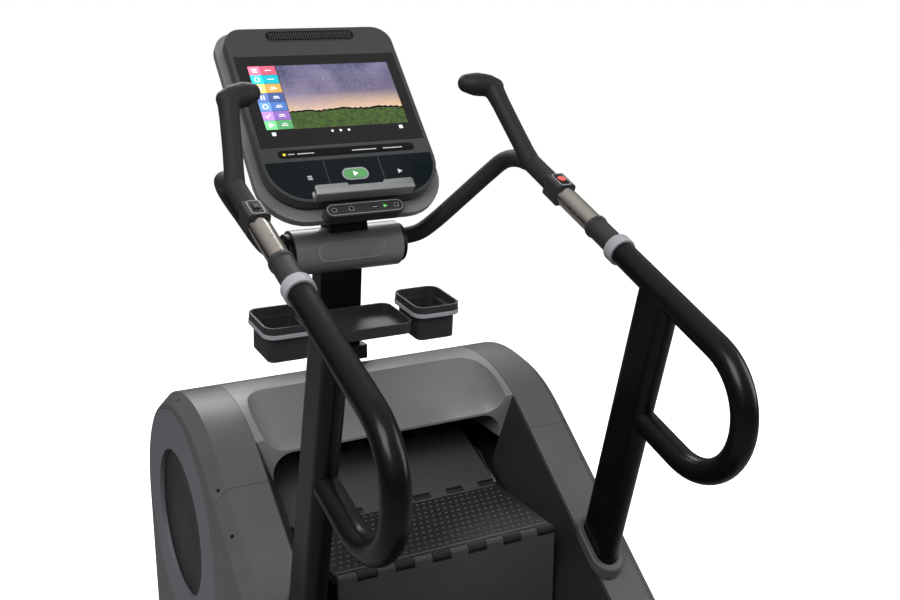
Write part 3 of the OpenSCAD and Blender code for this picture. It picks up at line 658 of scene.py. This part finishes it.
def build_display():
    """Column of plain tiles, a dusk landscape and a row of marks under it."""
    _, right, low, high = DISPLAY
    start = low + 20
    step = (high - start) / len(TILES)
    x0, x1, x2 = TILE_SPLIT
    lines = []
    for i, (tone, kind) in enumerate(TILES):
        y1 = high - i * step
        y0 = y1 - step + 0.8
        bright = glowing(f"tile_{i}_icon", [min(1.0, c * 1.5 + 0.02) for c in tone], 0.7)
        dark = glowing(f"tile_{i}_name", [c * 0.75 for c in tone], 0.7)
        icon_x, name_x = (x0 + x1) / 2, (x1 + x2) / 2
        plate(f"tile_{i}_icon", box_of(x0, x1, y0, y1, 0.8), LIFT, 0.4, bright)
        plate(f"tile_{i}_name", box_of(x1 + 0.3, x2, y0, y1, 0.8), LIFT, 0.4, dark)
        middle = (y0 + y1) / 2
        glyph(kind, f"tile_{i}_glyph", icon_x, middle, 8.0, LIGHT_LINES)
        for k, dy in enumerate((-2.2, 2.2) if i > 1 else (0,)):
            lines.append(pill(name_x, middle + dy, 8 - 2 * k, 1.0))
    plates("tile_lines", lines, 0.4, 0.55, LIGHT_LINES, edge=0.05)
    sky_left = x2 + 1.5
    plate("screen_sky", box_of(sky_left, right, start, high, 0.6), LIFT, 0.3, sky_material())
    crest = []
    for k in range(41):
        t = k / 40
        swell = 5 * math.sin(2.2 * t + 0.4)
        rise = 40 + swell + 1.6 * math.sin(17 * t) + 0.9 * math.sin(41 * t + 1)
        crest.append((sky_left + (right - sky_left) * t, start + rise))
    edge = crest + [(right, start), (sky_left, start)]
    loft("screen_field", [at_height(edge, 0.34), at_height(edge, 0.42)], CONSOLE, field_material())
    trees = [
        (x, y + 2.5 + 2.5 * abs(math.sin(1.7 * k)) * (1 + k / 60))
        for k, (x, y) in enumerate(crest)
    ]
    edge = trees + [(right, start + 30), (sky_left, start + 30)]
    loft("screen_trees", [at_height(edge, 0.3), at_height(edge, 0.36)], CONSOLE, BLACK)
    marks = [
        box_of(x - half, x + half, low + 9 - half, low + 9 + half, 1.0)
        for x, half in ((-158, 4.5), (-20, 2.6), (0, 2.6), (20, 2.6), (150, 4.5))
    ]
    plates("dock_marks", marks, LIFT, 0.35, LIGHT_LINES)


def build_vent():
    """Dark slot with fine ribs in the head of the bezel: a black plate under the ribs is painted
    shade for the vent openings.
    """
    rib_count = 35
    # Black plate over the vent's openings: painted shade.
    plate("vent_painted_shade", pill(VENT_X, VENT_Y, 110, 13), LIFT, 0.5, BLACK)
    ribs = [
        pill(VENT_X - 100 + 200 * k / (rib_count - 1), VENT_Y, 1.1, 9.5) for k in range(rib_count)
    ]
    plates("vent_ribs", ribs, 0.5, 1.2, MATERIALS["bezel_grey"], edge=0.3)
    rim = pill(VENT_X, VENT_Y, 112, 15)
    band("vent_edge", rim, 0, 1.9, LIFT, 1.2, MATERIALS["bezel_grey"])


def build_ledge():
    """Rest for a book or phone: back plate, shelf and lip with a raised tab at each end."""
    metal = MATERIALS["ledge_silver"]
    shelf = plate("ledge_shelf", box_of(-117, 117, -146, -138.5, 3.5), 0.6, 30, metal, edge=2.0)
    plate("ledge_back", box_of(-116, 116, -145, -121, 6), 0.5, 3.5, metal, edge=1.0)
    plate("ledge_lip", box_of(-116.8, 116.8, -145.8, -127, 6), 23, 30.4, metal, edge=2.4)
    for name, x0, x1 in (("left", -116.8, -38), ("right", 44, 116.8)):
        tab = box_of(x0, x1, -144, -120.5, 6)
        plate(f"ledge_tab_{name}", tab, 23.4, 30.2, metal, edge=2.4)
    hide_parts("device_ledge")


def build_console_trim():
    """Gasket round the face, and the strip and the keys printed on it."""
    band("console_gasket", FACE, 3.5, 7.9, -35.8, -28.4, BLACK)
    plate("label_strip", pill(0, STRIP_Y, 165, 10.5), 0.02, 0.5, BLACK)
    # Printed amber mark with a faint glow: painted light.
    amber = glowing("mark_amber_painted_glow", (0.75, 0.62, 0.04), 0.3)
    plate("strip_mark", pill(-150, STRIP_Y - 0.5, 3.6, 3.6), 0.5, 0.7, amber, edge=0.05)
    spans = ((-134, 8), (-100, 20), (40, 30), (110, 24))
    lines = [pill(x, STRIP_Y - 0.5, half, 1.1) for x, half in spans]
    # The strip's printed lines glow faintly: painted light.
    plates("strip_lines", lines, 0.5, 0.65, PRINT_PAINTED_GLOW, edge=0.05)
    dividers = [pill(x, -88, 0.5, 46) for x in (-66, 66)]
    plates("keypad_dividers", dividers, 0.2, 0.42, DIVIDER, edge=0.08)
    # The keypad's printed symbols glow faintly: painted light.
    glyph("bars", "keypad_bars", -108, -84, 7.0, PRINT_PAINTED_GLOW)
    glyph("play", "keypad_play", 108, -84, 7.0, PRINT_PAINTED_GLOW)
    band("start_ring", pill(0, -82, 28, 12), -3.6, -0.5, 0.2, 1.4, PALE)
    mark = arrow(-4, 5, -82, 5)
    plate("start_mark", mark, 2.0, 2.25, LIGHT_LINES, edge=0.05, body="start_button")


def build_ports():
    """Edge, screws, sockets and mark of the bar under the ledge."""
    steel = MATERIALS["drive_steel"]
    bar = pill(0, BAR_Y, 94, 17)
    band("port_outline", bar, 3.6, 4.8, BAR_Z, -4.5, PALE)
    for k, x in enumerate((-74, 74)):
        band(f"port_screw_{k}", pill(x, BAR_Y, 6, 6), 0, 2.2, BAR_Z, -4.2, steel)
        plate(f"port_screw_{k}_well", pill(x, BAR_Y, 3.6, 3.6), BAR_Z, -4.7, BLACK)
    band("headphone_ring", pill(-34, BAR_Y, 6.5, 6.5), 0, 2.4, BAR_Z, -3.6, steel)
    plate("headphone_well", pill(-34, BAR_Y, 3.9, 3.9), BAR_Z, -4.7, BLACK)
    plate("usb_port", box_of(14, 30, -171, -163, 1.0), BAR_Z, -4.6, BLACK)
    plate("usb_tongue", box_of(16, 28, -168.4, -166.6, 0.4), -4.7, -4.4, PALE, edge=0.05)
    # Printed green mark with a faint glow: painted light.
    green = glowing("port_green_painted_glow", (0.12, 0.5, 0.12), 0.4)
    plate("port_mark", arrow(44, 51, BAR_Y, 3), BAR_Z, -4.6, green, edge=0.05)


build_display()
build_vent()
build_ledge()
build_console_trim()
build_ports()


# ---- Neck, switches, side panels and belly pan ----


def neck_point(x, arc, radius):
    """Place on the neck's front, arc mm up from its nearest line to the user."""
    angle = arc / NECK_R + 0.12
    return (x, NECK_Y - radius * math.cos(angle), NECK_Z + radius * math.sin(angle))


def build_neck_rim():
    """Raised edge round the neck's front panel."""
    stations = ((0, 0), (0, 0.9), (1.2, 1.3), (3.4, 1.3), (4.6, 0.4), (4.6, 0))
    rings = [
        [neck_point(x, y, NECK_R + proud) for x, y in outline(pill(0, 0, 84, 25), inset, 14)]
        for inset, proud in stations
    ]
    loft("neck_panel_rim", rings, frame_at(0, 0, 0), MATERIALS["neck_plastic"], closed=True)


def build_neck_panel():
    """Thin panel with round ends, bent round the neck inside its rim."""
    rows, cols, half_w, half_h = 14, 30, 59, 20.5
    verts, faces = [], []
    for deep in (0.0, 0.35):
        for j in range(rows + 1):
            t = -1 + 2 * j / rows
            reach = half_w + half_h * math.sqrt(max(0.0, 1 - t * t))
            for i in range(cols + 1):
                x = reach * (2 * i / cols - 1)
                verts.append(place(*neck_point(x, half_h * t, NECK_R + deep)))
    sheet = (rows + 1) * (cols + 1)
    for j in range(rows):
        for i in range(cols):
            a = j * (cols + 1) + i
            quad = (a, a + 1, a + cols + 2, a + cols + 1)
            faces.append(quad)
            faces.append(tuple(v + sheet for v in reversed(quad)))
    border = list(range(cols + 1))
    border += [j * (cols + 1) + cols for j in range(1, rows + 1)]
    border += [rows * (cols + 1) + i for i in range(cols - 1, -1, -1)]
    border += [j * (cols + 1) for j in range(rows - 1, 0, -1)]
    for a, b in zip(border, border[1:] + border[:1]):
        faces.append((a, b, b + sheet, a + sheet))
    mesh = bpy.data.meshes.new("neck_panel")
    mesh.from_pydata(verts, [], faces)
    finish(add_object("neck_panel", mesh), MATERIALS["hood_plastic"])


def build_neck_cap(side, name):
    """Ring on an end of the neck, open round the cross tube."""
    stations = (
        (132.3, 0, 45.5), (142.5, 0, 45.5), (144.6, 0, 44.6), (145.5, 0, 42.5),
        (145.5, 12, 23.5), (144.2, 12, 22.0), (144.2, 0, 43.2), (132.3, 0, 43.2),
    )
    rings = [ring_at(side * x, NECK_Y, NECK_Z + up, r) for x, up, r in stations]
    loft(f"neck_cap_{name}", rings, frame_at(0, 0, 0), BLACK, closed=True)


def build_switch_pad(side, name, hole):
    """Black pad with a pale edge round the switch on a rail."""
    axes = frame_at(side * RAIL_X, COLLAR[0], COLLAR[1], RAIL_SLOPE - 90)
    axes @= Matrix.Translation(Vector((0, -25, BUTTON_S)) * MM)
    axes @= Matrix.Rotation(math.radians(90), 4, "X")
    pad = box_of(-11.5, 11.5, -21, 21, 5)
    top = outline(pad, 0.4)
    angles = [math.atan2(y, x) for x, y in top]
    inner = [(hole * math.cos(a), hole * math.sin(a)) for a in angles]
    rings = [
        at_height(outline(pad), LIFT), at_height(outline(pad), 1.0), at_height(top, 1.4),
        at_height(inner, 1.4), at_height(inner, LIFT),
    ]
    loft(f"switch_pad_{name}", rings, axes, BLACK, closed=True)
    band(f"switch_edge_{name}", pad, -1.8, -0.1, LIFT, 1.2, PALE, axes)


def build_hub(side, name):
    """Dark face in the recess of a side panel, with a raised edge."""
    stations = (
        (417.9, 0.5), (418.6, 0.5), (418.9, 90), (419.2, 158),
        (420.4, 161), (421.2, 164), (420.6, 166.5), (417.9, 166.5),
    )
    rings = [ring_at(side * x, *DISC, r, 96) for x, r in stations]
    loft(f"hub_face_{name}", rings, frame_at(0, 0, 0), BLACK_HUB, closed=True)


def build_belly_pan():
    """Tray with a folded rim that closes the machine underneath."""
    low = -HINGE.z / MM + 40
    pan = box_of(-304, 304, -1222, 468, 64)
    stations = ((1.5, 0), (0, 1.5), (0, 4.6), (2, 4.6), (3, 2), (60, 2), (62, 3.5))
    rings = [at_height(outline(pan, inset), low + up) for inset, up in stations]
    loft("belly_pan", rings, frame_at(0, 0, 0), MATERIALS["frame_steel"])


for part_side, part_name in SIDES:
    build_hub(part_side, part_name)
build_belly_pan()
build_neck_rim()
build_neck_panel()
for part_side, part_name in SIDES:
    build_neck_cap(part_side, part_name)
build_switch_pad(-1, "left", 11.4)
build_switch_pad(1, "right", 9.6)


# ---- Stage, light and camera ----


def build_floor():
    """Pale floor that looks white to the camera and throws little light back."""
    half = 7.0
    mesh = bpy.data.meshes.new("floor")
    corners = [(-half, -half, 0), (half, -half, 0), (half, half, 0), (-half, half, 0)]
    mesh.from_pydata(corners, [], [(0, 1, 2, 3)])
    floor = add_object("floor", mesh)
    paint = Nodes("floor_paint")
    seen = paint.add("LightPath").outputs["Is Camera Ray"]
    paint.set("Base Color", paint.mix(seen, (0.25, 0.25, 0.25, 1), (0.8, 0.8, 0.8, 1)))
    paint.set("Emission Color", (1, 1, 1, 1))
    paint.set("Emission Strength", paint.ramp(seen, 0.0, 0.8))
    paint.set("Roughness", 0.8)
    mesh.materials.append(paint.material)


def build_world():
    """White backdrop to the camera, and soft light from above for everything else."""
    world = bpy.data.worlds.new("studio")
    bpy.context.scene.world = world
    world.use_nodes = True
    tree = world.node_tree
    background = tree.nodes["Background"]
    coords = tree.nodes.new("ShaderNodeTexCoord")
    split = tree.nodes.new("ShaderNodeSeparateXYZ")
    tree.links.new(coords.outputs["Generated"], split.inputs["Vector"])
    sky = tree.nodes.new("ShaderNodeValToRGB")
    tree.links.new(split.outputs["Z"], sky.inputs["Fac"])
    stops = sky.color_ramp.elements
    stops[0].position, stops[0].color = 0.0, (0.03, 0.03, 0.03, 1)
    stops[1].position, stops[1].color = 0.9, (0.8, 0.8, 0.8, 1)
    path = tree.nodes.new("ShaderNodeLightPath")
    choose = tree.nodes.new("ShaderNodeMix")
    choose.data_type = "RGBA"
    tree.links.new(path.outputs["Is Camera Ray"], choose.inputs["Factor"])
    tree.links.new(sky.outputs["Color"], choose.inputs["A"])
    choose.inputs["B"].default_value = (1, 1, 1, 1)
    tree.links.new(choose.outputs["Result"], background.inputs["Color"])
    background.inputs["Strength"].default_value = 1.0
    bpy.context.scene.view_settings.view_transform = "Standard"


def area_light(name, where, target, size, power):
    data = bpy.data.lights.new(name, "AREA")
    data.energy = power
    data.shape = "RECTANGLE"
    data.size, data.size_y = size
    light = add_object(name, data)
    light.location = where
    light.rotation_euler = (Vector(target) - Vector(where)).to_track_quat("-Z", "Y").to_euler()


def build_camera():
    """Camera to the left of the machine and behind its user, looking down a little."""
    yaw = math.radians(27.2)
    pitch = math.radians(-15.92)
    data = bpy.data.cameras.new("camera")
    data.sensor_width = 36.0
    data.lens = 46.108
    data.shift_x = 0.0211556
    data.shift_y = 0.0098667
    camera = add_object("camera", data)
    view = Vector((
        math.sin(yaw) * math.cos(pitch),
        math.cos(yaw) * math.cos(pitch),
        math.sin(pitch),
    ))
    right = Vector((math.cos(yaw), -math.sin(yaw), 0))
    up = right.cross(view)
    turn = Matrix((right, up, -view)).transposed().to_4x4()
    camera.matrix_world = Matrix.Translation(place(-1009.8, -2132.2, 1123.7)) @ turn
    bpy.context.scene.camera = camera


build_floor()
build_world()
area_light("key", (-2.2, -2.0, 4.2), (0, 0, 1.2), (2.2, 2.2), 160)
area_light("fill", (3.4, -1.2, 2.6), (0, 0, 1.2), (1.6, 2.6), 70)
area_light("rim", (0.5, 3.2, 3.6), (0, 0, 1.4), (2.5, 1.5), 90)
build_camera()
